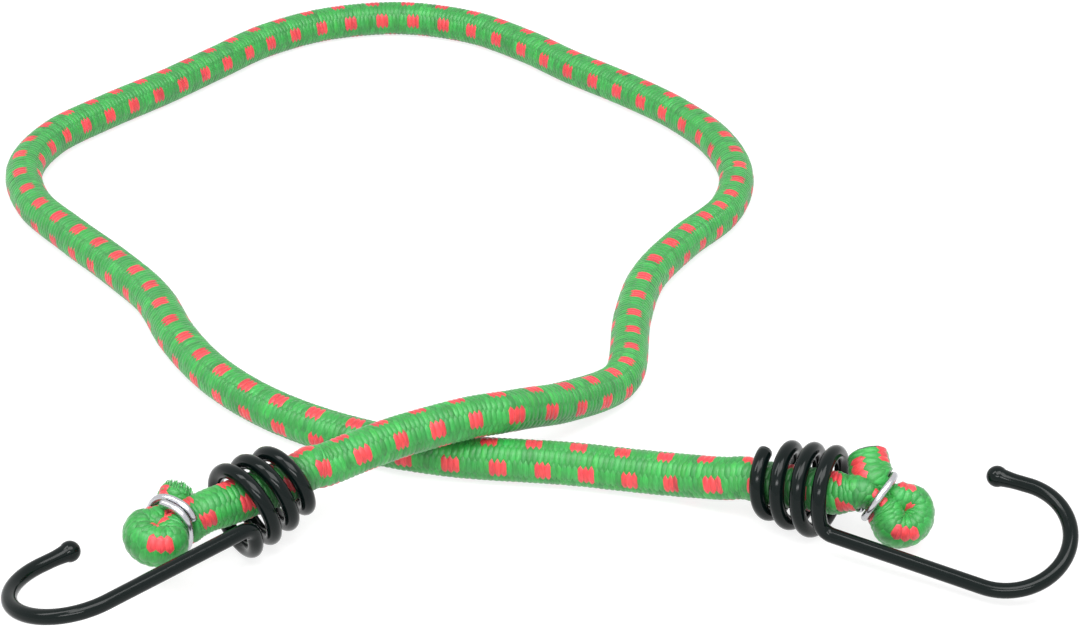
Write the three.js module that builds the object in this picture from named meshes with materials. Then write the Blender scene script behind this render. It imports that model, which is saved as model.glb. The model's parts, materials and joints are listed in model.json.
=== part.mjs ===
// Elastic luggage cord with a wire hook at each end, in millimetres, +Z up.
// It lies on the plane z = 0 with its hooks towards -Y, and the origin is under the middle of its two ends.
import * as THREE from "three";

// Cord: rubber strands in a braided sheath
const CORD_DIAMETER = 8;
const SHEATH_WALL = 0.6;
const CORE_GAP = 0.2;
const CORD_SIDES = 8;
const CORD_STEPS = 72;

// Cord where a hook grips it, between hook and clip, and in its bight: half thickness, half width
const GRIPPED = [3.65, 3.65];
const LOOSE = [3.2, 3.4];
const BENT = [2.8, 4.35];

// Hook: steel wire in a plastic coat, wound on the cord in widening turns
const COATED_DIAMETER = 2.8;
const COAT_WALL = 0.35;
const COAT_GAP = 0.1;
const WIRE_SIDES = 6;
const WINDING_GAP = 0.55;
const WINDING_FLARE = 2.2;
const FLARE_TURNS = 1.7;
const WINDING_TURNS = 3.28;
const WINDING_PITCH = 4.24;
const STEPS_PER_TURN = 24;
const BEND_RADIUS = 2.6;
const BEND_STEPS = 5;
const SHANK_LENGTH = 28.5;
const HOOK_RADIUS = 11;
const HOOK_ARC_DEG = 184;
const HOOK_STEPS = 15;
const HOOK_TWIST_DEG = 13.4;
const SHANK_LEAN_DEG = -1.8;
const SHANK_SKEW_DEG = -6;
const TIP_LENGTH = 4.4;
const BALL_DIAMETER = 3.7;
const BALL_STEPS = 5;

// Clip: a ring of bright wire closed round both strands, with lapped ends
const CLIP_WIRE = 1.4;
const CLIP_GAP = 0.6;
const CLIP_LAP_GAP = 0.3;
const CLIP_TURNS = 1.22;
const CLIP_STEPS = 34;
const CLIP_SIDES = 6;
const CLIP_SQUARENESS = 0.8;

// Doubled end: the strands lie side by side in the clip, and the bight turns beyond it
const STRAND_GAP = 0.3;
const CLIP_TO_BIGHT = 5.5;
const BIGHT_ANGLES_DEG = [-75, -37, 0, 37, 75];
const CLIP_STRAIGHT = 2.5;
const SEAM_GAP = 0.3;
const SEAM_LEAD = 2.5;
const SEAM_STRAIGHT = 1.5;
const STATIONS_PER_POINT = 3;

// Where each end lies. Angles are in degrees: heading is outwards in plan, rise is above level and
// roll turns about that line. entryOffset and mouthOffset say how far the cord is off the winding's
// middle where it enters and leaves. squeezed and cut are its half thickness and half width in the clip
// and at its cut end. stub is how far that end lies back from the clip, out from the strand and aside.
const LEFT_END = {
  name: "left",
  winding: { at: [-45, 14.6, 11.1], heading: 219, rise: -10.4, roll: 164.3 },
  entryOffset: [0, 0, 0],
  mouthOffset: [-0.6, 0.35, 1.5],
  loop: { at: [-65.5, 0.5, 9.9], heading: 241, rise: -3, roll: 168 },
  squeezed: [1.6, 3.9],
  bightRadius: 3.05,
  cut: [2.9, 3.2],
  stub: [5.5, 2.2, -1.8],
  lapAngle: 248,
};
const RIGHT_END = {
  name: "right",
  winding: { at: [40.2, 19.3, 8.2], heading: -29, rise: 2.6, roll: 4.3 },
  entryOffset: [0, -0.35, -0.65],
  mouthOffset: [0, -0.2, 0.2],
  loop: { at: [59.7, 11.0, 9.5], heading: -26.8, rise: -31.5, roll: 32.7 },
  squeezed: [1.85, 2.85],
  bightRadius: 3.3,
  cut: [3.6, 3.9],
  stub: [6.0, 3.0, -1.9],
  lapAngle: 270,
};

// Route of the free cord's middle line, from the left hook's winding round to the right one's
const CORD_ROUTE = [
  [-40.0, 18.2, 11.5], [-33.3, 22.2, 12.3], [-25.9, 27.5, 12.4], [-13.5, 34.3, 12.4], [-8.2, 37.1, 11.8],
  [-2.6, 42.4, 9.9], [3.4, 48.8, 7.4], [13.2, 60.9, 4.3], [15.9, 66.7, 4.1],
  [18.1, 90.5, 3.95], [21.9, 108.7, 3.9], [30.0, 125.3, 3.9], [39.7, 141.1, 3.9],
  [43.2, 159.2, 3.9], [39.8, 177.4, 3.9], [31.3, 193.7, 3.9], [19.7, 208.2, 3.9],
  [7.0, 221.8, 3.9], [-4.8, 236.0, 3.9], [-18.5, 248.1, 3.9], [-36.0, 253.8, 3.9],
  [-53.8, 250.0, 3.9], [-68.5, 239.2, 3.9], [-79.6, 224.4, 3.9], [-90.5, 209.4, 3.9],
  [-102.3, 195.0, 3.9], [-112.7, 179.9, 3.9], [-116.5, 162.2, 3.9], [-111.7, 144.3, 3.9],
  [-101.4, 128.9, 3.9], [-90.4, 114.2, 3.9], [-80.2, 98.7, 3.9], [-73.2, 81.5, 3.9], [-64.0, 65.4, 3.9],
  [-51.5, 51.8, 3.9], [-36.1, 41.6, 3.9], [-18.7, 35.2, 3.92], [5.0, 31.5, 4.1], [17.6, 28.5, 4.3],
  [24.9, 26.1, 4.9], [32.9, 22.2, 6.5],
];

const CORD_RADIUS = CORD_DIAMETER / 2;
const COATED_RADIUS = COATED_DIAMETER / 2;
const BORE_RADIUS = COATED_RADIUS - COAT_WALL;
const WIRE_RADIUS = BORE_RADIUS - COAT_GAP;
const Z_UP = new THREE.Vector3(0, 0, 1);

const vector = (list) => new THREE.Vector3(...list);
const radians = THREE.MathUtils.degToRad;

// A frame whose x axis has the given heading and rise, turned about it by roll, at a point
function placed({ at, heading, rise, roll }) {
  const level = Math.cos(radians(rise));
  const x = new THREE.Vector3(
    level * Math.cos(radians(heading)),
    level * Math.sin(radians(heading)),
    Math.sin(radians(rise)),
  );
  const y = new THREE.Vector3().crossVectors(Z_UP, x).normalize();
  const z = new THREE.Vector3().crossVectors(x, y);
  const frame = new THREE.Matrix4().makeBasis(x, y, z).setPosition(vector(at));
  return frame.multiply(new THREE.Matrix4().makeRotationX(radians(roll)));
}

// A closed surface through rings of equal count: flat caps on the first and last ring, or joined end to end
function skin(rings, joined) {
  const sides = rings[0].length;
  const positions = rings.flat().flatMap((p) => p.toArray());
  const faces = [];
  const spans = joined ? rings.length : rings.length - 1;
  for (let i = 0; i < spans; i++) {
    const here = i * sides;
    const next = ((i + 1) % rings.length) * sides;
    for (let k = 0; k < sides; k++) {
      const turn = (k + 1) % sides;
      faces.push(here + k, here + turn, next + turn, here + k, next + turn, next + k);
    }
  }
  if (!joined) {
    const last = (rings.length - 1) * sides;
    for (let k = 1; k < sides - 1; k++) {
      faces.push(0, k + 1, k, last, last + k, last + k + 1);
    }
  }
  const geometry = new THREE.BufferGeometry();
  geometry.setAttribute("position", new THREE.Float32BufferAttribute(positions, 3));
  geometry.setIndex(faces);
  geometry.computeVertexNormals();
  return geometry;
}

// One ring of points round a station, with half sizes along its side and up directions.
// Its first point lies half a step on where a flat leads.
function ring(station, [halfSide, halfUp], sides, flatsLead) {
  return Array.from({ length: sides }, (_, k) => {
    const angle = ((k + (flatsLead ? 1 / 2 : 0)) * 2 * Math.PI) / sides;
    return station.at
      .clone()
      .addScaledVector(station.side, halfSide * Math.cos(angle))
      .addScaledVector(station.up, halfUp * Math.sin(angle));
  });
}

// Half sizes of a polygon with the area of the ellipse that it stands for
function fullSize(halfSizes, sides) {
  const grow = Math.sqrt((2 * Math.PI) / (sides * Math.sin((2 * Math.PI) / sides)));
  return halfSizes.map((size) => size * grow);
}

// Stations along points, with the first up direction carried on without twist
function carried(points, firstUp) {
  const stations = [];
  let up = firstUp.clone();
  points.forEach((at, i) => {
    const ahead = points[Math.min(i + 1, points.length - 1)];
    const along = ahead.clone().sub(points[Math.max(i - 1, 0)]).normalize();
    up = up.clone().addScaledVector(along, -up.dot(along)).normalize();
    stations.push({ at, up, side: new THREE.Vector3().crossVectors(up, along), along });
  });
  return stations;
}

// The smooth route of the free cord, with its section kept upright so that a flat of it lies down
class UprightRoute extends THREE.CatmullRomCurve3 {
  computeFrenetFrames(segments) {
    const frames = { tangents: [], normals: [], binormals: [] };
    for (let i = 0; i <= segments; i++) {
      const tangent = this.getTangentAt(i / segments);
      const binormal = Z_UP.clone().addScaledVector(tangent, -tangent.z).normalize();
      frames.tangents.push(tangent);
      frames.binormals.push(binormal);
      frames.normals.push(new THREE.Vector3().crossVectors(binormal, tangent));
    }
    return frames;
  }
}

// The cord's section as points of a polygon with a flat side down
function section(radius) {
  const [size] = fullSize([radius], CORD_SIDES);
  return Array.from({ length: CORD_SIDES }, (_, k) => {
    const angle = ((k + 1 / 2) * 2 * Math.PI) / CORD_SIDES;
    return new THREE.Vector2(size * Math.cos(angle), size * Math.sin(angle));
  });
}

function freeCord() {
  const lead = (end, back) => {
    const onAxis = new THREE.Vector3(-back, 0, 0).applyMatrix4(placed(end.winding));
    return onAxis.add(vector(end.entryOffset));
  };
  const straight = SEAM_LEAD + SEAM_STRAIGHT;
  const points = [
    lead(LEFT_END, SEAM_LEAD),
    lead(LEFT_END, straight),
    ...CORD_ROUTE.map(vector),
    lead(RIGHT_END, straight),
    lead(RIGHT_END, SEAM_LEAD),
  ];
  const route = new UprightRoute(points);
  route.arcLengthDivisions = CORD_STEPS * points.length;
  const along = { steps: CORD_STEPS, bevelEnabled: false, extrudePath: route };
  const sheath = new THREE.Shape(section(CORD_RADIUS));
  sheath.holes.push(new THREE.Path(section(CORD_RADIUS - SHEATH_WALL)));
  const core = new THREE.Shape(section(CORD_RADIUS - SHEATH_WALL - CORE_GAP));
  return [new THREE.ExtrudeGeometry(sheath, along), new THREE.ExtrudeGeometry(core, along)];
}

// The cord's middle line from its seam through the winding and the clip, round the bight and back to
// the cut. Each point has the section's half sizes there and the way of its width, taken upwards.
function endPoints(end) {
  const winding = placed(end.winding);
  const loop = placed(end.loop);
  const width = new THREE.Vector3().setFromMatrixColumn(loop, 2);
  width.multiplyScalar(Math.sign(width.z));
  const inWinding = (x) => new THREE.Vector3(x, 0, 0).applyMatrix4(winding);
  const inLoop = (x, y, z = 0) => new THREE.Vector3(x, y, z).applyMatrix4(loop);
  const windingLength = WINDING_TURNS * WINDING_PITCH;
  const strand = end.squeezed[0] + STRAND_GAP / 2;
  const round = [CORD_RADIUS, CORD_RADIUS];
  const [back, out, aside] = end.stub;
  const entry = vector(end.entryOffset);
  const mouth = inWinding(windingLength).add(vector(end.mouthOffset));
  const intoClip = inLoop(-CLIP_STRAIGHT, -strand);
  const points = [
    { at: inWinding(SEAM_GAP - SEAM_LEAD).add(entry), size: round, up: Z_UP },
    { at: inWinding(0).add(entry), size: GRIPPED, up: Z_UP },
    { at: inWinding(0).add(entry).lerp(mouth, 1 / 2), size: GRIPPED, up: Z_UP },
    { at: mouth, size: GRIPPED, up: Z_UP.clone().add(width).normalize() },
    { at: mouth.clone().lerp(intoClip, 1 / 2), size: LOOSE, up: width },
    { at: intoClip, size: end.squeezed, up: width },
    { at: inLoop(CLIP_STRAIGHT, -strand), size: end.squeezed, up: width },
  ];
  for (const degrees of BIGHT_ANGLES_DEG) {
    const x = CLIP_TO_BIGHT + end.bightRadius * Math.cos(radians(degrees));
    points.push({ at: inLoop(x, end.bightRadius * Math.sin(radians(degrees))), size: BENT, up: width });
  }
  points.push(
    { at: inLoop(CLIP_STRAIGHT, strand), size: end.squeezed, up: width },
    { at: inLoop(-CLIP_STRAIGHT, strand), size: end.squeezed, up: width },
    { at: inLoop(-back, strand + out, aside), size: end.cut, up: width },
  );
  return points;
}

// Stations of a doubled end, smooth through its points
function endStations(end) {
  const points = endPoints(end);
  const line = new THREE.CatmullRomCurve3(points.map((p) => p.at));
  const sizes = new THREE.CatmullRomCurve3(points.map((p) => new THREE.Vector3(...p.size, 0)));
  const ups = new THREE.CatmullRomCurve3(points.map((p) => p.up));
  sizes.curveType = "catmullrom";
  ups.curveType = "catmullrom";
  const count = (points.length - 1) * STATIONS_PER_POINT;
  return Array.from({ length: count + 1 }, (_, i) => {
    const along = line.getTangent(i / count);
    const lean = ups.getPoint(i / count);
    const up = lean.addScaledVector(along, -lean.dot(along)).normalize();
    const size = sizes.getPoint(i / count);
    const side = new THREE.Vector3().crossVectors(up, along);
    return { at: line.getPoint(i / count), up, side, size: [size.x, size.y] };
  });
}

function doubledEnd(end) {
  const stations = endStations(end);
  const rings = (inset) =>
    stations.map((s) => {
      const sizes = fullSize(s.size.map((size) => size - inset), CORD_SIDES);
      return ring(s, sizes, CORD_SIDES, true);
    });
  const sheath = skin([...rings(0), ...rings(SHEATH_WALL).reverse()], true);
  const core = skin(rings(SHEATH_WALL + CORE_GAP), false);
  return [sheath, core];
}

// The hook's middle line in the winding's frame: x outwards along the cord, first turn round the origin.
// The shank leaves the widest turn and the U brings the tip back beside it.
function hookLine() {
  const firstRadius = GRIPPED[0] + WINDING_GAP + COATED_RADIUS;
  const steps = Math.round(WINDING_TURNS * STEPS_PER_TURN);
  const winding = Array.from({ length: steps + 1 }, (_, i) => {
    const turn = (WINDING_TURNS * i) / steps;
    const radius = firstRadius + WINDING_FLARE * (1 - Math.exp(-turn / FLARE_TURNS));
    const angle = 2 * Math.PI * turn;
    return new THREE.Vector3(WINDING_PITCH * turn, -radius * Math.sin(angle), radius * Math.cos(angle));
  });
  const last = winding[steps];
  const leaving = last.clone().sub(winding[steps - 1]).normalize();
  const inward = new THREE.Vector3(0, -last.y, -last.z).normalize();
  const across = new THREE.Vector3(1, 0, 0).cross(inward);
  const shank = new THREE.Vector3(1, 0, 0)
    .addScaledVector(inward, Math.tan(radians(SHANK_LEAN_DEG)))
    .addScaledVector(across, Math.tan(radians(SHANK_SKEW_DEG)))
    .normalize();

  const square = shank.clone().addScaledVector(leaving, -shank.dot(leaving)).normalize();
  const bend = Array.from({ length: BEND_STEPS }, (_, i) => {
    const angle = (leaving.angleTo(shank) * (i + 1)) / BEND_STEPS;
    return last
      .clone()
      .addScaledVector(leaving, BEND_RADIUS * Math.sin(angle))
      .addScaledVector(square, BEND_RADIUS * (1 - Math.cos(angle)));
  });

  const opening = inward.clone().applyAxisAngle(new THREE.Vector3(1, 0, 0), radians(HOOK_TWIST_DEG));
  opening.addScaledVector(shank, -opening.dot(shank)).normalize();
  const foot = bend[BEND_STEPS - 1].clone().addScaledVector(shank, SHANK_LENGTH);
  const curve = Array.from({ length: HOOK_STEPS + 1 }, (_, i) => {
    const angle = (radians(HOOK_ARC_DEG) * i) / HOOK_STEPS;
    return foot
      .clone()
      .addScaledVector(shank, HOOK_RADIUS * Math.sin(angle))
      .addScaledVector(opening, HOOK_RADIUS * (1 - Math.cos(angle)));
  });
  const back = curve[HOOK_STEPS].clone().sub(curve[HOOK_STEPS - 1]).normalize();
  const tip = curve[HOOK_STEPS].clone().addScaledVector(back, TIP_LENGTH);
  return { winding, points: [...winding, ...bend, ...curve, tip], opening };
}

// Least clear gap between the turns of a winding, over points at least half a turn apart
function leastGap(points, thickness, apart) {
  let least = Infinity;
  points.forEach((p, i) => {
    points.slice(i + apart).forEach((other) => {
      least = Math.min(least, p.distanceTo(other) - thickness);
    });
  });
  return least;
}

// The coat is open at the cut end and swells to a ball round the tip. The wire ends flush with the cut end.
function hookGeometries() {
  const line = hookLine();
  const gap = leastGap(line.winding, COATED_DIAMETER, STEPS_PER_TURN / 2);
  console.log("least gap between turns: " + gap.toFixed(2) + " mm");
  const stations = carried([...line.points].reverse(), line.opening);
  const size = (radius) => fullSize([radius, radius], WIRE_SIDES);
  const rings = (list, radius) => list.map((s) => ring(s, size(radius), WIRE_SIDES, false));
  const tip = stations[0];
  const ballRadius = BALL_DIAMETER / 2;
  const neckAngle = Math.asin(COATED_RADIUS / ballRadius);
  const ballCentre = tip.at.clone().addScaledVector(tip.along, -ballRadius * Math.cos(neckAngle));
  const ball = Array.from({ length: BALL_STEPS }, (_, i) => {
    const angle = Math.PI - ((Math.PI - neckAngle) * (i + 1 / 2)) / BALL_STEPS;
    const at = ballCentre.clone().addScaledVector(tip.along, ballRadius * Math.cos(angle));
    return ring({ ...tip, at }, size(ballRadius * Math.sin(angle)), WIRE_SIDES, false);
  });
  const bore = rings(stations, BORE_RADIUS).reverse();
  const coat = skin([...ball, ...rings(stations, COATED_RADIUS), ...bore], false);
  const wireEnd = { ...tip, at: tip.at.clone().addScaledVector(tip.along, COAT_GAP) };
  const wire = skin(rings([wireEnd, ...stations.slice(1)], WIRE_RADIUS), false);
  return { coat, wire };
}

// A ring of wire round both strands of a doubled end, in the loop's frame, with its ends side by side
function clipGeometry(end) {
  const radius = CLIP_WIRE / 2;
  const [thick, wide] = end.squeezed;
  const halfAcross = 2 * thick + STRAND_GAP / 2 + CLIP_GAP + radius;
  const halfWidth = wide + CLIP_GAP + radius;
  const advance = CLIP_WIRE + CLIP_LAP_GAP;
  const squared = (value) => Math.sign(value) * Math.abs(value) ** CLIP_SQUARENESS;
  const points = Array.from({ length: CLIP_STEPS + 1 }, (_, i) => {
    const turn = CLIP_TURNS * (i / CLIP_STEPS - 1 / 2);
    const angle = 2 * Math.PI * (turn + 1 / 2) + radians(end.lapAngle);
    return new THREE.Vector3(
      advance * turn,
      halfAcross * squared(Math.cos(angle)),
      halfWidth * squared(Math.sin(angle)),
    );
  });
  const stations = carried(points, new THREE.Vector3(1, 0, 0));
  return skin(stations.map((s) => ring(s, [radius, radius], CLIP_SIDES, false)), false);
}

const MATERIALS = {
  sheath: () => new THREE.MeshStandardMaterial({ color: 0x2fae44, roughness: 0.62, metalness: 0 }),
  core: () => new THREE.MeshStandardMaterial({ color: 0xcfc4a8, roughness: 0.8, metalness: 0 }),
  coat: () => new THREE.MeshStandardMaterial({ color: 0x17191b, roughness: 0.25, metalness: 0 }),
  wire: () => new THREE.MeshStandardMaterial({ color: 0x9a9da0, roughness: 0.35, metalness: 1 }),
  clip: () => new THREE.MeshStandardMaterial({ color: 0xd9dce0, roughness: 0.28, metalness: 1 }),
};

function named(name, geometry, material) {
  const mesh = new THREE.Mesh(geometry, MATERIALS[material]());
  mesh.name = name;
  return mesh;
}

// The doubled end with its clip, and the hook, as one group
function endGroup(end, hook) {
  const group = new THREE.Group();
  const [sheath, core] = doubledEnd(end);
  group.add(named(end.name + "_end_sheath", sheath, "sheath"));
  group.add(named(end.name + "_end_core", core, "core"));

  const clip = named(end.name + "_clip", clipGeometry(end), "clip");
  clip.applyMatrix4(placed(end.loop));
  group.add(clip);

  const hookGroup = new THREE.Group();
  hookGroup.add(named(end.name + "_hook_coat", hook.coat, "coat"));
  hookGroup.add(named(end.name + "_hook_wire", hook.wire, "wire"));
  hookGroup.applyMatrix4(placed(end.winding));
  group.add(hookGroup);
  return group;
}

const cord = new THREE.Group();
const [cordSheath, cordCore] = freeCord();
cord.add(named("cord_sheath", cordSheath, "sheath"));
cord.add(named("cord_core", cordCore, "core"));
const hook = hookGeometries();
cord.add(endGroup(LEFT_END, hook));
cord.add(endGroup(RIGHT_END, hook));

export default cord;
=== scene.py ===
"""Looks of an elastic cord with two wire hooks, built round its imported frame. Metres, +Z up."""

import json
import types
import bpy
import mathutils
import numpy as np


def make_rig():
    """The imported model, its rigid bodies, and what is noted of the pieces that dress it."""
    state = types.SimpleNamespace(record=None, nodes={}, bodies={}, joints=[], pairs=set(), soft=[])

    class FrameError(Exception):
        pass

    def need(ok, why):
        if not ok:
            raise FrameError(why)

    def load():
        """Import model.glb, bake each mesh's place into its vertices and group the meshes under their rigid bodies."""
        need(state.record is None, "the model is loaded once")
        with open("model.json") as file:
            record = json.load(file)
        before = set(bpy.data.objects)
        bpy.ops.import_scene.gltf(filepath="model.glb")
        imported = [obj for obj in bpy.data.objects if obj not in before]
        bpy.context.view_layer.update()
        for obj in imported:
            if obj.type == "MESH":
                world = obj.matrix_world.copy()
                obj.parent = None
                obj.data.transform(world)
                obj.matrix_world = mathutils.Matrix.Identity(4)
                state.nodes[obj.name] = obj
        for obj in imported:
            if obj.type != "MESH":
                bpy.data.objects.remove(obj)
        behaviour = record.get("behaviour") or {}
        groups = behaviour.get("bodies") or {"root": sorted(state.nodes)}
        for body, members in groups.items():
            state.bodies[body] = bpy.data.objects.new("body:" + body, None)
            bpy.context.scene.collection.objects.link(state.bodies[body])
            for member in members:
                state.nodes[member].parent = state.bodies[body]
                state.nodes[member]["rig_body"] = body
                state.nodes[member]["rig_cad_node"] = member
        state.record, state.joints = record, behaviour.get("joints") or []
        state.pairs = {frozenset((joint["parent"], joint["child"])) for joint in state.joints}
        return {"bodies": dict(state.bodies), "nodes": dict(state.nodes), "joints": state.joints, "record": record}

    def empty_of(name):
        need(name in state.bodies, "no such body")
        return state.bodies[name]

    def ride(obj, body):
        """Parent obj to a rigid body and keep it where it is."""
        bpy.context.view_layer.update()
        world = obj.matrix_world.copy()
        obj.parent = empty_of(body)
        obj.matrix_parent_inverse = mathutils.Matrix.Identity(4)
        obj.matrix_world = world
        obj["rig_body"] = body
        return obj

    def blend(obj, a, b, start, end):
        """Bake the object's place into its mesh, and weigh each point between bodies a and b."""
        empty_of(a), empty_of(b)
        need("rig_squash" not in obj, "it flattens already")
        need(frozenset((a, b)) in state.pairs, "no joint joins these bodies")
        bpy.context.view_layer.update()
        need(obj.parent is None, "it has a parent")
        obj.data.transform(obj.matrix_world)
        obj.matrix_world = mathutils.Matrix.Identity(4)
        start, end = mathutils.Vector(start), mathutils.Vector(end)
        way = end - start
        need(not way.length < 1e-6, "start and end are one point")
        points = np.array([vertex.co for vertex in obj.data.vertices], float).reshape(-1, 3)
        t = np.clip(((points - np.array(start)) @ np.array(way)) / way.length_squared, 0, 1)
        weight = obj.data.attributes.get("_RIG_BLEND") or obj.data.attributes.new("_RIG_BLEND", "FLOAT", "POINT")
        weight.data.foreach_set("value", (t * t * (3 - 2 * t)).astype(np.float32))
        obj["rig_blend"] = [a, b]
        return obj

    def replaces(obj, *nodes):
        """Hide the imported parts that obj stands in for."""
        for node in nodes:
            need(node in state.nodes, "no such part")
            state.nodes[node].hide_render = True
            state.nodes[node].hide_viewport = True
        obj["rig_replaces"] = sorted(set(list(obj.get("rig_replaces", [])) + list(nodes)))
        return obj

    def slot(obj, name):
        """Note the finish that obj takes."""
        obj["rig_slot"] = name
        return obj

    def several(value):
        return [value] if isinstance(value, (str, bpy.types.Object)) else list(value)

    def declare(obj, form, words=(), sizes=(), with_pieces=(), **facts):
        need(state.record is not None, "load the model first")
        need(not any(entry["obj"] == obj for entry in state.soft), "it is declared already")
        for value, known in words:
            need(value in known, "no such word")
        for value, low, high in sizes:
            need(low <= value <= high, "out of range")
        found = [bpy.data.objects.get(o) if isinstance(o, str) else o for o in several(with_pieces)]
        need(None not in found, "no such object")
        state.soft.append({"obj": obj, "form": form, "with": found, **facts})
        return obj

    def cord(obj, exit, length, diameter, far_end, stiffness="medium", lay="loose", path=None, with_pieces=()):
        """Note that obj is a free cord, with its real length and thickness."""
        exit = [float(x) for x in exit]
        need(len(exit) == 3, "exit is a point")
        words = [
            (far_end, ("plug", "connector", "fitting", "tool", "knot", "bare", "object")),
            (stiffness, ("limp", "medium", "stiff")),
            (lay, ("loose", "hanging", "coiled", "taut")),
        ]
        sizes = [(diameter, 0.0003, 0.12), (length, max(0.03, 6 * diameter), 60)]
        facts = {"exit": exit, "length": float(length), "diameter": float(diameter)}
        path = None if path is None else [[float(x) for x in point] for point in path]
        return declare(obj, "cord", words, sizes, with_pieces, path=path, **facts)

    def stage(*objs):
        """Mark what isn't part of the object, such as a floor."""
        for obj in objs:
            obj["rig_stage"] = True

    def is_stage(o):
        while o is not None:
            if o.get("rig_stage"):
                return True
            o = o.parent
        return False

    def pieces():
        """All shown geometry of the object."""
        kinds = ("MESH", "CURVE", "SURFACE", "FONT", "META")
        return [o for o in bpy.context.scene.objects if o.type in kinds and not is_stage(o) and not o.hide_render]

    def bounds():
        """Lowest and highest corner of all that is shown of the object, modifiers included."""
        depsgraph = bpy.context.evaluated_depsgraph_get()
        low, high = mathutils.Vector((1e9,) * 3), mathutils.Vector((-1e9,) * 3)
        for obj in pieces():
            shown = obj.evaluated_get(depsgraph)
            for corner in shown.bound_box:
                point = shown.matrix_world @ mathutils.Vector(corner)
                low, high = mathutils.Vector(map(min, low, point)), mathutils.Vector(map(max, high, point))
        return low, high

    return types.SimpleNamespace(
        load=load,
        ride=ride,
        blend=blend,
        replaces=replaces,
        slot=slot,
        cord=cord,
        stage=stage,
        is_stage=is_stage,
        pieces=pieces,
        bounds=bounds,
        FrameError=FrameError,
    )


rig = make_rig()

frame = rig.load()

import json
import math

import bpy
import numpy as np
from mathutils import Vector

CAD_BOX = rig.bounds()
MM = 0.001
RANDOM_SEED = 11
rng = np.random.default_rng(RANDOM_SEED)


def add_object(name, data, place=(0, 0, 0)):
    obj = bpy.data.objects.new(name, data)
    obj.location = place
    bpy.context.scene.collection.objects.link(obj)
    return obj


# Camera, looking down at the photograph's angle
CAMERA_PLACE = (-0.00071, -0.43886, 0.28026)
CAMERA_TILT_DEG = 62.5
camera_data = bpy.data.cameras.new("camera")
camera_data.lens = 97.97
camera_data.sensor_width = 36
camera_data.clip_start = 0.01
camera = add_object("camera", camera_data, CAMERA_PLACE)
camera.rotation_euler = (math.radians(CAMERA_TILT_DEG), 0, 0)
bpy.context.scene.camera = camera

# Sizes repeated from the model, in millimetres
CORD_RADIUS = 4.0
GRIPPED_RADIUS = 3.65
COATED_RADIUS = 1.4
BORE_RADIUS, BORE_DEPTH = 1.05, 1.2
WIRE_RADIUS = 0.95
WINDING_GAP, WINDING_FLARE, FLARE_TURNS = 0.55, 2.2, 1.7
WINDING_TURNS, WINDING_PITCH = 3.28, 4.24
BEND_RADIUS, SHANK_LENGTH, HOOK_RADIUS = 2.6, 28.5, 11.0
HOOK_ARC_DEG, HOOK_TWIST_DEG, SHANK_LEAN_DEG, SHANK_SKEW_DEG = 184, 13.4, -1.8, -6
TIP_LENGTH, BALL_RADIUS, NECK_RADIUS = 4.4, 1.95, 1.62
CLIP_RADIUS, CLIP_GAP, CLIP_LAP_GAP, CLIP_TURNS, CLIP_SQUARENESS = 0.7, 0.5, 0.3, 1.22, 0.85
STRAND_GAP, CLIP_STRAIGHT = 0.3, 2.5
SEAM_GAP, SEAM_LEAD, SEAM_STRAIGHT = 0.3, 2.5, 1.5
BIGHT_ANGLES_DEG = (-75, -37, 0, 37, 75)

# The soft cord's half thickness and half width in a winding. A clip pinches it over a reach along the cord,
# and makes its section squarer over a longer reach.
ROUND = (4.0, 4.0)
PINCH_REACH, BOX_REACH = 1.7, 3.0
PINCH_SQUARENESS = 0.25
PINCH_POWER = 4

# Each doubled end. Its winding and loop are frames: place, heading, rise and roll. Pairs of sizes are half
# thickness and half width, and the loose stretch before the clip also has its bow.
LEFT = dict(
    name="left", entry=(0, 0, 0), mouth=(-0.6, 0.35, 2.0), loose=((3.85, 3.9), 0.45),
    winding=((-45, 14.6, 11.1), 219, -10.4, 164.3), loop=((-65.5, 0.5, 9.9), 241, -3, 168),
    squeezed=(1.6, 3.9), pinched=(1.9, 4.15), to_bight=3.4, bight=3.05, bent=(3.3, 4.0),
    belly=(3.3, 3.6), cut=(3.1, 3.4), stub=(5.9, 1.3, -2.0), lap=248)
RIGHT = dict(
    name="right", entry=(0, -0.35, -0.65), mouth=(0, -0.2, 0.5), loose=((3.3, 4.1), 0),
    winding=((40.2, 19.3, 8.2), -29, 2.6, 4.3), loop=((59.7, 11.0, 9.5), -26.8, -31.5, 32.7),
    squeezed=(1.5, 3.4), pinched=(1.7, 3.7), to_bight=4.7, bight=3.2, bent=(3.2, 4.45),
    belly=(4.0, 4.2), cut=(3.7, 3.8), stub=(6.2, 3.3, -0.7), lap=270)

# Directions in which the ends move away as the cord stretches, and the two places along them, in metres
# from the origin, between which a half cord goes over from lying still to following its end
LEFT_DRIFT = (-0.7771, -0.6293, 0)
RIGHT_DRIFT = (0.8746, -0.4848, 0)
BLEND_START, BLEND_END = -0.130, 0.019

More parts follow.
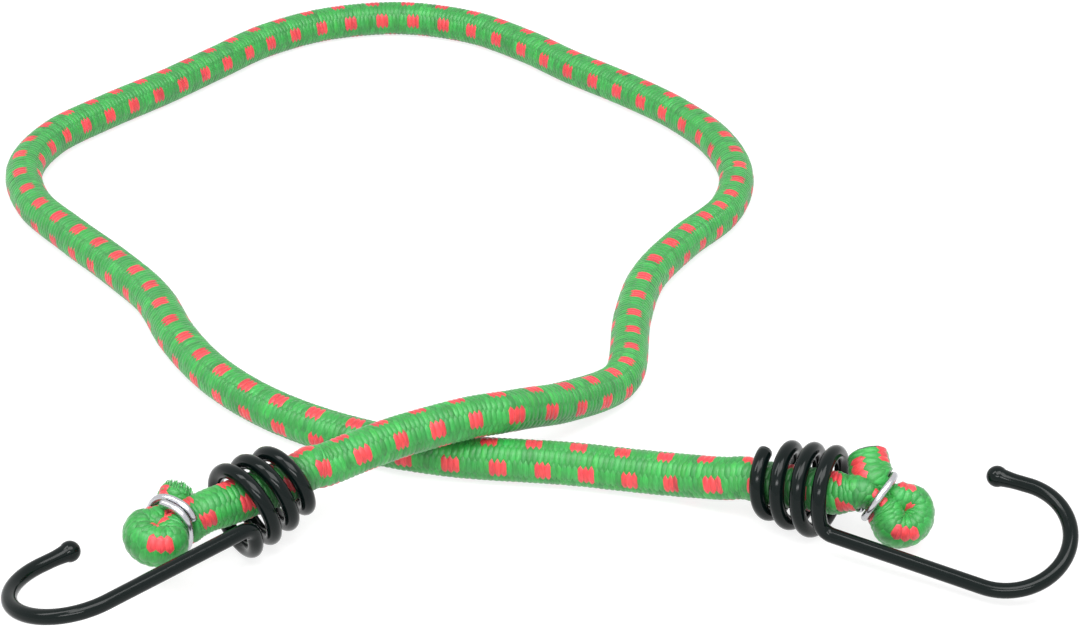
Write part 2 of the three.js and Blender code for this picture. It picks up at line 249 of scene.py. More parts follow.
CORD_ROUTE = [
    (-40.0, 18.2, 11.5), (-33.3, 22.2, 12.3), (-25.9, 27.5, 12.4), (-13.5, 34.3, 12.4), (-8.2, 37.1, 11.8),
    (-2.6, 42.4, 9.9), (3.4, 48.8, 7.4), (13.2, 60.9, 4.3), (15.9, 66.7, 4.1),
    (18.1, 90.5, 3.95), (21.9, 108.7, 3.9), (30.0, 125.3, 3.9), (39.7, 141.1, 3.9),
    (43.2, 159.2, 3.9), (39.8, 177.4, 3.9), (31.3, 193.7, 3.9), (19.7, 208.2, 3.9),
    (7.0, 221.8, 3.9), (-4.8, 236.0, 3.9), (-18.5, 248.1, 3.9), (-36.0, 253.8, 3.9),
    (-53.8, 250.0, 3.9), (-68.5, 239.2, 3.9), (-79.6, 224.4, 3.9), (-90.5, 209.4, 3.9),
    (-102.3, 195.0, 3.9), (-112.7, 179.9, 3.9), (-116.5, 162.2, 3.9), (-111.7, 144.3, 3.9),
    (-101.4, 128.9, 3.9), (-90.4, 114.2, 3.9), (-80.2, 98.7, 3.9), (-73.2, 81.5, 3.9), (-64.0, 65.4, 3.9),
    (-51.5, 51.8, 3.9), (-36.1, 41.6, 3.9), (-18.7, 35.2, 3.92), (5.0, 31.5, 4.1), (17.6, 28.5, 4.3),
    (24.9, 26.1, 4.9), (32.9, 22.2, 6.5),
]
FAR_BEND = (-18.5, 248.3, 3.9)

# Steps along the middle line: how many on each end and on the free cord, and their lengths in millimetres on
# the whole line and on the path that a half cord hangs from
END_SAMPLES = 1400
FREE_SAMPLES = 14000
LINE_STEP = 0.05
PATH_STEP = 2.0
SMOOTHING_STEPS = 120


def unit(v):
    return v / np.linalg.norm(v, axis=-1, keepdims=True)


def columns_of(a):
    return (a[:, k] for k in range(a.shape[1]))


def distance_along(points):
    return np.concatenate([[0], np.cumsum(np.linalg.norm(np.diff(points, axis=0), axis=1))])


def catmull_rom(points, u, centripetal=True):
    """Smooth curve through the points at parameters u, from 0 to the number of spans."""
    p = np.asarray(points, float)
    p = np.vstack([2 * p[0] - p[1], p, 2 * p[-1] - p[-2]])
    i = np.minimum(np.asarray(u).astype(int), len(p) - 4)
    w = (u - i)[:, None]
    p0, p1, p2, p3 = p[i], p[i + 1], p[i + 2], p[i + 3]
    if centripetal:
        steps = ((p0, p1), (p1, p2), (p2, p3))
        d0, d1, d2 = (np.sqrt(np.linalg.norm(b - a, axis=1))[:, None] for a, b in steps)
        t1 = ((p1 - p0) / d0 - (p2 - p0) / (d0 + d1) + (p2 - p1) / d1) * d1
        t2 = ((p2 - p1) / d1 - (p3 - p1) / (d1 + d2) + (p3 - p2) / d2) * d1
    else:
        t1, t2 = (p2 - p0) / 2, (p3 - p1) / 2
    return p1 + w * (t1 + w * (3 * (p2 - p1) - 2 * t1 - t2 + w * (2 * (p1 - p2) + t1 + t2)))


def placed(where):
    """Origin and axes of a frame whose x axis has a heading and rise, turned about it by roll."""
    at, heading, rise, roll = where
    h, e, r = (math.radians(a) for a in (heading, rise, roll))
    x = np.array([math.cos(e) * math.cos(h), math.cos(e) * math.sin(h), math.sin(e)])
    y = unit(np.cross((0, 0, 1), x))
    z = np.cross(x, y)
    axes = np.array([x, y * math.cos(r) + z * math.sin(r), z * math.cos(r) - y * math.sin(r)])
    return np.array(at, float), axes


def inside(where, points):
    at, axes = placed(where)
    return at + np.atleast_2d(points) @ axes


def in_winding(end, x):
    return inside(end["winding"], (x, 0, 0))[0]


# The cord's middle line
def end_line(end):
    """A doubled end from its seam outwards to the cut: places, up directions, half sizes, squareness."""
    width = placed(end["loop"])[1][2]
    width = width * np.sign(width[2])
    up = np.array([0, 0, 1.0])
    strand = end["squeezed"][0] + STRAND_GAP / 2
    back, out, aside = end["stub"]
    loose, bow = end["loose"]
    entry = np.array(end["entry"])
    in_loop = lambda *point: inside(end["loop"], point)[0]
    start = in_winding(end, 0) + entry
    mouth = in_winding(end, WINDING_TURNS * WINDING_PITCH) + np.array(end["mouth"])
    into_clip = in_loop(-CLIP_STRAIGHT, -strand, 0)
    rows = [(in_winding(end, SEAM_GAP - SEAM_LEAD) + entry, ROUND, up),
            (start, ROUND, up), ((start + mouth) / 2, ROUND, up), (mouth, ROUND, unit(up + width)),
            ((mouth + into_clip) / 2 + bow * width, loose, width), (into_clip, loose, width),
            (in_loop(CLIP_STRAIGHT, -strand, 0), end["bent"], width)]
    first_clip = len(rows) - 1.5  # half way between the last two rows so far
    for degrees in BIGHT_ANGLES_DEG:
        a = math.radians(degrees)
        at = in_loop(end["to_bight"] + end["bight"] * math.cos(a), end["bight"] * math.sin(a), 0)
        rows.append((at, end["bent"], width))
    rows += [(in_loop(CLIP_STRAIGHT, strand, 0), end["bent"], width),
             (in_loop(-CLIP_STRAIGHT, strand, 0), end["belly"], width),
             (in_loop(-back, strand + out, aside), end["cut"], width)]
    second_clip = len(rows) - 2.5  # half way between the two rows before the last
    u = np.linspace(0, len(rows) - 1, END_SAMPLES)
    at = catmull_rom([r[0] for r in rows], u)
    size = catmull_rom([r[1] for r in rows], u, False)
    up = catmull_rom([r[2] for r in rows], u, False)
    s = distance_along(at)
    box = np.ones((len(s), 1))
    for middle in (first_clip, second_clip):
        off = s - np.interp(middle, u, s)
        squeeze = np.exp(-(off / PINCH_REACH) ** PINCH_POWER)[:, None]
        size = size * (1 - squeeze) + np.array(end["pinched"]) * squeeze
        box -= PINCH_SQUARENESS * np.exp(-(off / BOX_REACH) ** PINCH_POWER)[:, None]
    return at, up, size, box


def whole_line():
    """The whole cord between its cut ends.

    Distance from the left seam, place, up, right, half sizes and squareness, and the free cord's length.
    """
    def lead(end, back):
        return in_winding(end, -back) + np.array(end["entry"])
    straight = SEAM_LEAD + SEAM_STRAIGHT
    points = [lead(LEFT, SEAM_LEAD), lead(LEFT, straight), *CORD_ROUTE,
              lead(RIGHT, straight), lead(RIGHT, SEAM_LEAD)]
    free = catmull_rom(points, np.linspace(0, len(points) - 1, FREE_SAMPLES))
    left, right = end_line(LEFT), end_line(RIGHT)
    at = np.vstack([left[0][::-1], free, right[0]])
    up = np.vstack([left[1][::-1], np.tile((0, 0, 1.0), (len(free), 1)), right[1]])
    size = np.vstack([left[2][::-1], np.full((len(free), 2), CORD_RADIUS), right[2]])
    box = np.vstack([left[3][::-1], np.ones((len(free), 1)), right[3]])
    s = distance_along(at)
    s = s - s[len(left[0])]
    length = s[len(left[0]) + len(free) - 1]
    even = np.arange(s[0], s[-1], LINE_STEP)
    pick = lambda a: np.stack([np.interp(even, s, c) for c in columns_of(a)], axis=1)
    at, up, size, box = pick(at), pick(up), pick(size), pick(box)
    along = unit(np.gradient(at, axis=0))
    up = unit(up - along * np.sum(up * along, axis=1, keepdims=True))
    return even, at, up, np.cross(along, up), size, box, length


LINE_S, LINE_AT, LINE_UP, LINE_RIGHT, LINE_SIZE, LINE_BOX, FREE_LENGTH = whole_line()

# What changes along the cord, as pairs of a distance from the left seam and a value between which it runs
# evenly: turns of a braid strand, degrees that the pattern is turned, swelling, and the share of the dye's
# brightness, which is less inside a hook's winding as a painted shade of its turns over the cord
COUNTS = [
    (-60, -7.8), (-34, -4.8), (-28, -3.85), (-22, -2.74), (0.2, 0), (32.2, 4), (39.5, 5), (57.6, 7),
    (72.9, 9), (84.7, 11), (99.3, 13), (115.9, 15), (133.4, 17), (148.9, 19), (161.4, 21), (176.3, 23),
    (201.2, 26), (235.1, 30), (260.6, 33), (279.2, 35), (323.6, 40), (365.1, 45), (404.8, 50), (420.2, 52),
    (436.2, 54), (445.7, 55), (479.4, 59), (560.0, 69), (612.5, 75), (654.4, 80), (678, 82.75),
    (695, 85.15), (712, 86.81), (720, 87.8),
]
TURNED = [
    (-34, -48), (-22, -26), (35, -26), (41, -19), (49, -10), (58, -1), (75, 6), (400, 6), (425, 13),
    (448, 9), (470, 14), (492, 0), (505, 1), (515, 9), (565, 9), (580, 5), (602, -9), (622, -8), (645, -2),
    (664, -18), (678, -31), (688, 0), (695, 34),
]
SWELLING = [
    (65, 1), (80, 0.975), (170, 0.975), (190, 1), (220, 1.01), (245, 1.035), (440, 1.035), (452, 1.015),
    (470, 1.04), (500, 1.04), (520, 1.015), (570, 1.015), (620, 1.03), (655, 1.02), (664, 1),
]
# Painted shade: the cord's dye is darker inside each hook's winding, where its turns shade the cord
WINDING_PAINTED_SHADE = [(-14, 1), (-11, 0.5), (-2, 0.5), (1, 1), (663, 1), (666, 0.5), (675, 0.5), (678, 1)]


def smooth_along(pairs, reflect=False):
    """The value of each pair table at every step of the line, with its corners rounded."""
    kernel = np.hanning(2 * SMOOTHING_STEPS + 1)
    kernel /= kernel.sum()
    values = np.interp(LINE_S, *zip(*pairs))
    kind = dict(mode="reflect", reflect_type="odd") if reflect else dict(mode="edge")
    return np.convolve(np.pad(values, SMOOTHING_STEPS, **kind), kernel, mode="valid")


LINE_N = smooth_along(COUNTS, reflect=True)
LINE_TURN = smooth_along(TURNED)
LINE_SIZE = LINE_SIZE * smooth_along(SWELLING)[:, None]

# Where the cord lies on the surface: its least height there, and how much of a depth under its skin shows
FLOOR_GAP = 0.03
RESTING_SHARE = 0.3


def on_cord(n, degrees, depth):
    """Points on the cord's skin at strand count n and angle from its up line, some depth under the skin."""
    n = np.asarray(n)
    shape = n.shape
    n, degrees, depth = (np.broadcast_to(a, shape).ravel() for a in (n, degrees, depth))
    take = lambda a: np.stack([np.interp(n, LINE_N, c) for c in columns_of(a)], axis=1)
    at, up, right, size = take(LINE_AT), take(LINE_UP), take(LINE_RIGHT), take(LINE_SIZE)
    box = take(LINE_BOX)[:, 0]
    angle = np.radians(degrees + np.interp(n, LINE_N, LINE_TURN))
    boxed = lambda v: np.sign(v) * np.abs(v) ** box
    place = at + up * (boxed(np.cos(angle)) * (size[:, 1] - depth))[:, None]
    place += right * (boxed(np.sin(angle)) * (size[:, 0] - depth))[:, None]
    place[:, 2] = np.maximum(place[:, 2], FLOOR_GAP + RESTING_SHARE * depth)
    return place.reshape(*shape, 3)


# Meshes
def textile(name, verts, faces, dye, lay=None, dive_shade=None, uv=None):
    """A mesh object from millimetre points, with values that the braid's material reads at each point.

    dye is its colour, lay its place on its strand, and hide how far it dives under there, painted as shade.
    """
    mesh = bpy.data.meshes.new(name)
    faces = np.asarray(faces, np.int32)
    corners = faces.ravel()
    mesh.vertices.add(len(verts))
    mesh.vertices.foreach_set("co", (np.asarray(verts, np.float32) * MM).ravel())
    mesh.loops.add(len(corners))
    mesh.loops.foreach_set("vertex_index", corners)
    mesh.polygons.add(len(faces))
    mesh.polygons.foreach_set("loop_start", np.arange(0, len(corners), faces.shape[1], dtype=np.int32))
    if uv is not None:
        layer = mesh.uv_layers.new(name="OFBake")
        layer.data.foreach_set("uv", np.asarray(uv, np.float32)[corners].ravel())
    lay = np.zeros((len(verts), 3)) if lay is None else lay
    dive_shade = np.zeros(len(verts)) if dive_shade is None else dive_shade
    for label, kind, key, values in (("dye", "FLOAT_COLOR", "color", dye),
                                     ("lay", "FLOAT_VECTOR", "vector", lay),
                                     ("dive_shade", "FLOAT", "value", dive_shade)):
        data = mesh.attributes.new(label, kind, "POINT").data
        data.foreach_set(key, np.asarray(values, np.float32).ravel())
    mesh.update(calc_edges=True)
    mesh.validate()
    mesh.polygons.foreach_set("use_smooth", np.ones(len(mesh.polygons), bool))
    return add_object(name, mesh)


def grid_faces(rows, columns, wrap=False, base=0):
    """Quads over a grid of points, rows by columns, wrapped round the columns if wanted."""
    i, j = np.meshgrid(np.arange(rows - 1), np.arange(columns if wrap else columns - 1), indexing="ij")
    k = (j + 1) % columns
    corners = [i * columns + j, i * columns + k, (i + 1) * columns + k, (i + 1) * columns + j]
    return np.stack(corners, axis=-1).reshape(-1, 4) + base


def repeated(faces, count, points):
    """The faces of one small mesh, repeated for a count of copies with so many points each."""
    return (faces[None] + np.arange(count)[:, None, None] * points).reshape(-1, 4)


# The braid: sixteen strands, eight each way, over two and under two. Seen from outside they make eight rows
# of short floats, four rows of each way, each two of sixteen units round the cord. The floats lie nearly
# square to the cord. Three neighbouring strands of one way are red.
UNITS_ROUND = 16
UNIT_DEG = 360 / UNITS_ROUND
WAY_STRANDS = 8
RED_STRANDS = 3
PHASE_DEG = -6.25

# The pattern repeats every few units round the cord, with one float of each way: which way it leans, and
# where its middle is in the repeat
REPEAT_UNITS = 4
REPEAT_FLOATS = ((1, 0.5), (-1, 2.5))

# A float, in units round the cord and in strands along it: how far it goes on under its neighbours, how it
# leans, its half width and taper, how deep its ends dive and how round it is across
TUCK = 0.42
FLOAT_LEAN = 0.12
STATIONS = np.array([-1.0, -0.72, -0.36, 0, 0.36, 0.72, 1.0]) * (1 + TUCK)
ACROSS = np.array([-1.0, -0.62, 0, 0.62, 1.0])
FLOAT_WIDTH, FLOAT_TAPER, TAPER_POWER = 0.56, 0.34, 2.6
DIVE, DIVE_POWER = 0.26, 3
ROUNDING, EDGE_SHARE, END_FLATTENING = 0.3, 0.86, 0.3
WIDTH_JITTER, LENGTH_JITTER, PLACE_JITTER, DEPTH_JITTER = 0.03, 0.02, 0.03, 0.02
SHADE_JITTER, TINT_JITTER = 0.11, 0.05

# Where a float lies in the unrolled pattern: share of its length, half width, margin at each end, and the
# part of the pattern's width that the floats take, beside which the backing lies
FLAT_LENGTH, FLAT_HALF_WIDTH, FLAT_MARGIN, FLAT_PART = 0.97, 0.46, 0.35, 0.94
BACKING_FLAT_START, BACKING_FLAT_PART = 0.955, 0.04

# The filaments' places on a strand, for the material: along, across, and the range of chance starts
LAY_ALONG, LAY_ACROSS, LAY_STARTS = 1.6, 0.5, 90

GREEN = np.array([0.026, 0.270, 0.046])
RED = np.array([0.640, 0.045, 0.052])
BACKING = np.array([0.008, 0.090, 0.016])
CHAR = np.array([0.030, 0.045, 0.036])
BACKING_DEPTH, BACKING_SIDES, BACKING_RINGS = 0.36, 16, 12


def strand_rows(first, last):
    """Every float between two strand counts: its strand, its middle round the cord and its way."""
    rows = []
    for column in range(0, UNITS_ROUND, REPEAT_UNITS):
        for lean, offset in REPEAT_FLOATS:
            middle = column + offset
            low = math.ceil(WAY_STRANDS * first - lean * middle / 2)
            high = math.ceil(WAY_STRANDS * last - lean * middle / 2)
            rows += [(strand, middle, lean) for strand in range(low, high)]
    return (np.array(c, float)[:, None, None] for c in zip(*rows))


def braid(name, first, last, strips):
    """Floats between two strand counts over a backing tube, with the unrolled cord as UVs, in strips."""
    strand, middle, lean = strand_rows(first, last)
    count = len(strand)
    t = STATIONS[None, :, None]
    a = ACROSS[None, None, :]
    jitter = lambda size: rng.normal(0, size, (count, 1, 1))
    reach = np.abs(t) / (1 + TUCK)
    wide = FLOAT_WIDTH * (1 - FLOAT_TAPER * reach ** TAPER_POWER) * (1 + jitter(WIDTH_JITTER))
    m = middle + t * (1 + jitter(LENGTH_JITTER))
    aslant = middle + FLOAT_LEAN * (m - middle)
    n = (strand + jitter(PLACE_JITTER) + lean * aslant / 2 + a * wide) / WAY_STRANDS
    crown = DIVE * reach ** DIVE_POWER + np.abs(jitter(DEPTH_JITTER))
    depth = crown + ROUNDING * (1 - np.sqrt(1 - EDGE_SHARE * a ** 2)) * (1 - END_FLATTENING * reach)
    shape = np.broadcast(n, depth).shape
    spread = lambda v: np.broadcast_to(v, shape)
    points = on_cord(spread(n), spread(m) * UNIT_DEG + PHASE_DEG, spread(depth))

    per_strip = (last - first) / strips
    centre = (strand + lean * middle / 2) / WAY_STRANDS
    strip = np.clip(np.floor((centre - first) / per_strip), 0, strips - 1)
    flat_m = middle + t / (1 + TUCK) * FLAT_LENGTH + 0 * a
    flat_aslant = middle + FLOAT_LEAN * (flat_m - middle)
    flat_n = (strand + lean * flat_aslant / 2 + a * FLAT_HALF_WIDTH) / WAY_STRANDS
    flat_n = flat_n - first - strip * per_strip
    u = (flat_n + FLAT_MARGIN) / (per_strip + 2 * FLAT_MARGIN) * FLAT_PART
    v = (strip + (flat_m + 0.5) / UNITS_ROUND) / strips
    uv = np.stack([spread(u), spread(v)], axis=-1).reshape(-1, 2)

    red = (lean > 0) & (np.mod(strand + 1, WAY_STRANDS) < RED_STRANDS)
    dye = np.where(red, RED, GREEN) * (1 + rng.normal(0, SHADE_JITTER, (count, 1, 1)))
    dye = dye * (1 + rng.normal(0, TINT_JITTER, (count, 1, 3)))
    # Painted shade: the dye is darker where the strand lies inside a hook's winding
    dye = dye * np.interp(np.interp(centre, LINE_N, LINE_S), *zip(*WINDING_PAINTED_SHADE))
    dye = np.concatenate([dye, np.ones((count, 1, 1))], axis=2)
    dye = np.broadcast_to(dye[:, :, None, :], (*shape, 4))
    starts = rng.uniform(0, LAY_STARTS, (count, 1, 1))
    lay = np.stack([spread(t * LAY_ALONG), spread(a * LAY_ACROSS), spread(starts)], axis=-1)

    one = grid_faces(len(STATIONS), len(ACROSS))
    faces = repeated(one, count, len(STATIONS) * len(ACROSS))
    flip = np.repeat(lean.ravel() > 0, len(one))
    faces[flip] = faces[flip][:, ::-1]

    ring_n = np.linspace(first, last, int((last - first) * BACKING_RINGS) + 2)
    side = np.arange(BACKING_SIDES)
    ring_shape = (len(ring_n), BACKING_SIDES)
    ring = on_cord(np.broadcast_to(ring_n[:, None], ring_shape), side * 360 / BACKING_SIDES, BACKING_DEPTH)
    backing = grid_faces(len(ring_n), BACKING_SIDES, wrap=True, base=len(points.reshape(-1, 3)))[:, ::-1]
    ring_u = BACKING_FLAT_START + BACKING_FLAT_PART * side / BACKING_SIDES + 0 * ring_n[:, None]
    ring_v = (ring_n[:, None] - first) / (last - first) + 0 * side
    ring_count = ring.size // 3

    return textile(
        name, np.vstack([points.reshape(-1, 3), ring.reshape(-1, 3)]), np.vstack([faces, backing]),
        dye=np.vstack([dye.reshape(-1, 4), np.broadcast_to([*BACKING, 1], (ring_count, 4))]),
        lay=np.vstack([lay.reshape(-1, 3), np.zeros((ring_count, 3))]),
        dive_shade=np.concatenate([spread(reach ** DIVE_POWER).ravel(), np.zeros(ring_count)]),
        uv=np.vstack([uv, np.stack([ring_u, ring_v], axis=-1).reshape(-1, 2)]))


def count_at(s):
    return float(np.interp(s, LINE_S, LINE_N))


def stretch_of_line(low, high):
    """Points in metres along the middle line between two distances."""
    s = np.append(np.arange(low, high, PATH_STEP), high)
    return [tuple(float(np.interp(v, LINE_S, c)) * MM for c in columns_of(LINE_AT)) for v in s]


MIDDLE_S = float(LINE_S[np.argmin(np.linalg.norm(LINE_AT - np.array(FAR_BEND), axis=1))])
HALF_STRIPS = 4
left_half = braid("left_half_cord", count_at(0), count_at(MIDDLE_S), HALF_STRIPS)
right_half = braid("right_half_cord", count_at(MIDDLE_S), count_at(FREE_LENGTH), HALF_STRIPS)
left_loop = braid("left_loop", count_at(LINE_S[0]), count_at(0), 1)
right_loop = braid("right_loop", count_at(FREE_LENGTH), count_at(LINE_S[-1]), 1)

left_path = stretch_of_line(0, MIDDLE_S)
right_path = stretch_of_line(MIDDLE_S, FREE_LENGTH)[::-1]
for half, path, end, drift in ((left_half, left_path, "left_end", LEFT_DRIFT),
                               (right_half, right_path, "right_end", RIGHT_DRIFT)):
    away = Vector(drift)
    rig.blend(half, "cord", end, start=away * BLEND_START, end=away * BLEND_END)
    length = sum((Vector(b) - Vector(a)).length for a, b in zip(path, path[1:]))
    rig.cord(half, exit=path[0], length=length, diameter=2 * CORD_RADIUS * MM, far_end="object",
            stiffness="limp", lay="loose", path=path)
    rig.slot(half, "braid")
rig.replaces(left_half, "cord_sheath", "cord_core")
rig.replaces(right_half, "cord_sheath", "cord_core")
for loop, name in ((left_loop, "left"), (right_loop, "right")):
    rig.ride(loop, name + "_end")
    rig.replaces(loop, name + "_end_sheath", name + "_end_core")
    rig.slot(loop, "braid")


# Cut ends: the left one frayed over its core, the right one melted
LEFT_CUT, RIGHT_CUT = 0, -1
CAP_SIDES = 48
CORE_CROWN = [(-1.2, 0.9), (-0.1, 0.93), (0.3, 0.86), (0.5, 0.66), (0.6, 0.38), (0.6, 0.02)]
MELTED_CROWN = [(-0.5, 0.93), (-0.15, 0.96), (0.1, 0.95), (0.25, 0.9), (0.2, 0.84),
                (0.05, 0.76), (0, 0.6), (0.05, 0.3), (0.05, 0.02)]
CORE_SHADE = 0.6

# A crown's lumps are waves round it: their size, and for each wave its number round the crown, how it shifts
# with the share of the radius and with the distance out, and where it starts
CROWN_LUMPS = 0.02
CROWN_WAVES = ((5, 3, 0, 0), (11, 0, 0, 1), (17, 0, 2, 0))

# The frayed end's filaments, in millimetres and in shares of the cut's radius: where they stand, how deep
# they start, how far they reach, their radius and its taper, how they sway, lean inwards, droop and dome,
# and how their green varies
FILAMENTS, FILAMENT_STEPS, FILAMENT_SIDES = 420, 7, 5
FRAY_HALF_SIZES = (3.3, 3.7)
STANDING_SHARES = (0.15, 0.98)
ROOT_DEPTH = 0.9
REACHES = (1.2, 2.8)
FILAMENT_RADII, FILAMENT_TAPER = (0.07, 0.13), 0.6
SWAY = 0.16
INWARD_SHARES, INWARD_POWER = (0.05, 0.5), 1.5
DROOP, DOME = 0.18, 0.8
FRAY_SHADES, FRAY_PALENESS = (0.75, 1.5), 0.03


def at_cut(which, out, across, aside):
    """Points beyond a cut end: distance out of it, and places across it as shares of its half sizes."""
    at, up, right, size = (a[which] for a in (LINE_AT, LINE_UP, LINE_RIGHT, LINE_SIZE))
    along = unit(LINE_AT[which] - LINE_AT[1 if which == LEFT_CUT else -2])
    out, across, aside = np.broadcast_arrays(out, across, aside)
    sideways = (across * size[0])[..., None] * right + (aside * size[1])[..., None] * up
    return at + out[..., None] * along + sideways


def crown(name, which, profile, dye):
    """A closed crown over a cut end, from (out, share of the radius) pairs, ending at its middle."""
    out, share = (np.array(c, float)[:, None] for c in zip(*profile))
    angle = np.linspace(0, 2 * math.pi, CAP_SIDES, endpoint=False)[None, :]
    waves = sum(np.sin(k * angle + by_share * share + by_out * out + start)
                for k, by_share, by_out, start in CROWN_WAVES)
    rough = 1 + CROWN_LUMPS * waves / len(CROWN_WAVES)
    radius = share * rough
    rim = at_cut(which, out * rough, radius * np.cos(angle), radius * np.sin(angle)).reshape(-1, 3)
    faces = grid_faces(len(profile), CAP_SIDES, wrap=True)
    if which == LEFT_CUT:
        faces = faces[:, ::-1]
    return textile(name, rim, faces, dye=np.broadcast_to([*dye, 1], (len(rim), 4)))


def fray(name, which, count):
    """Loose filaments of the sheath standing out of a cut end, bent over its middle."""
    each = (count, 1, 1)
    turn = rng.uniform(0, 2 * math.pi, each)
    share = np.sqrt(rng.uniform(*STANDING_SHARES, each))
    t = np.linspace(0, 1, FILAMENT_STEPS)[None, :, None]
    ring = np.arange(FILAMENT_SIDES)[None, None, :] * 2 * math.pi / FILAMENT_SIDES
    reach = rng.uniform(*REACHES, each)
    thick = rng.uniform(*FILAMENT_RADII, each) * (1 - FILAMENT_TAPER * t ** 3)
    sway = rng.normal(0, SWAY, each) * t ** 2
    inward = share * (1 - rng.uniform(*INWARD_SHARES, each) * t ** INWARD_POWER)
    across = inward * np.cos(turn + sway) + thick * np.cos(ring) / FRAY_HALF_SIZES[0]
    aside = inward * np.sin(turn + sway) + thick * np.sin(ring) / FRAY_HALF_SIZES[1]
    rise = (reach + ROOT_DEPTH) * (t - DROOP * t ** 3)
    out = rise - ROOT_DEPTH - DOME * share ** 2 * t ** 2 + 0 * ring
    points = at_cut(which, out, across, aside).reshape(-1, 3)
    each_points = FILAMENT_STEPS * FILAMENT_SIDES
    faces = repeated(grid_faces(FILAMENT_STEPS, FILAMENT_SIDES, wrap=True), count, each_points)
    shade = rng.uniform(*FRAY_SHADES, (count, 1)) * GREEN + rng.uniform(0, FRAY_PALENESS, (count, 1))
    dye = np.repeat(np.hstack([shade, np.ones((count, 1))]), each_points, axis=0)
    return textile(name, points, faces, dye=dye)


left_core_end = crown("left_core_end", LEFT_CUT, CORE_CROWN, GREEN * CORE_SHADE)
left_frayed_end = fray("left_frayed_end", LEFT_CUT, FILAMENTS)
right_melted_end = crown("right_melted_end", RIGHT_CUT, MELTED_CROWN, CHAR)
for obj, body in ((left_core_end, "left_end"), (left_frayed_end, "left_end"),
                  (right_melted_end, "right_end")):
    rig.ride(obj, body)
    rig.slot(obj, "braid")


# Hooks and clips: sides and steps of their wires
COAT_SIDES, WIRE_SIDES, CLIP_SIDES = 24, 12, 16
WINDING_STEPS, BEND_STEPS, SHANK_STEPS, ARC_STEPS = 150, 11, 14, 49
TIP_STEPS, BALL_STEPS, CLIP_STEPS = 8, 14, 97
NECK_STEPS, NECK_POWER = 5, 1.6
BALL_LAST_ANGLE = 0.02
CLIP_END_SHARE = 0.82


def tube(points, radii, up, sides):
    """A round tube along points, with a radius at each: its points, side faces and two end faces."""
    points = np.asarray(points, float)
    along = unit(np.gradient(points, axis=0))
    rings = []
    up = np.array(up, float)
    angle = np.arange(sides) * 2 * math.pi / sides
    for at, way, radius in zip(points, along, radii):
        up = unit(up - way * np.dot(up, way))
        side = np.cross(up, way)
        rings.append(at + radius * (np.outer(np.cos(angle), side) + np.outer(np.sin(angle), up)))
    faces = grid_faces(len(points), sides, wrap=True)
    ends = [np.arange(sides)[::-1], np.arange(sides) + (len(points) - 1) * sides]
    return np.array(rings).reshape(-1, 3), faces, ends


def solid(name, verts, faces, ends):
    """A mesh object from millimetre points, smooth on its sides and flat on its ends."""
    mesh = bpy.data.meshes.new(name)
    polygons = [*map(tuple, faces.tolist()), *[tuple(map(int, e)) for e in ends]]
    mesh.from_pydata([tuple(v * MM) for v in verts], [], polygons)
    mesh.update()
    mesh.polygons.foreach_set("use_smooth", np.array([len(p.vertices) == 4 for p in mesh.polygons]))
    return add_object(name, mesh)


def hook_line():
    """The hook's middle line in the winding's frame, from its cut end to its tip, and two directions.

    They are the way that the U opens, across the shank, and the way that the tip points.
    """
    shares = lambda steps: np.linspace(0, 1, steps)[:, None]
    first = GRIPPED_RADIUS + WINDING_GAP + COATED_RADIUS
    turn = np.linspace(0, WINDING_TURNS, WINDING_STEPS)
    radius = first + WINDING_FLARE * (1 - np.exp(-turn / FLARE_TURNS))
    angle = 2 * math.pi * turn
    winding = np.stack([WINDING_PITCH * turn, -radius * np.sin(angle), radius * np.cos(angle)], axis=1)
    last = winding[-1]
    leaving = unit(last - winding[-2])
    inward = unit(np.array([0, -last[1], -last[2]]))
    across = np.cross((1, 0, 0), inward)
    shank = unit(np.array([1, 0, 0]) + inward * math.tan(math.radians(SHANK_LEAN_DEG))
                 + across * math.tan(math.radians(SHANK_SKEW_DEG)))
    square = unit(shank - leaving * np.dot(shank, leaving))
    sweep = math.acos(np.dot(leaving, shank)) * shares(BEND_STEPS)[1:]
    bend = last + BEND_RADIUS * (leaving * np.sin(sweep) + square * (1 - np.cos(sweep)))
    twist = math.radians(HOOK_TWIST_DEG)
    opening = inward * math.cos(twist) + across * math.sin(twist)
    opening = unit(opening - shank * np.dot(opening, shank))
    foot = bend[-1] + shank * SHANK_LENGTH
    straight = bend[-1] + shank * SHANK_LENGTH * shares(SHANK_STEPS)[1:-1]
    arc = np.radians(HOOK_ARC_DEG) * shares(ARC_STEPS)
    curve = foot + HOOK_RADIUS * (shank * np.sin(arc) + opening * (1 - np.cos(arc)))
    back = unit(curve[-1] - curve[-2])
    tip = curve[-1] + back * TIP_LENGTH * shares(TIP_STEPS)[1:]
    return np.vstack([winding, bend, straight, curve, tip]), opening, back


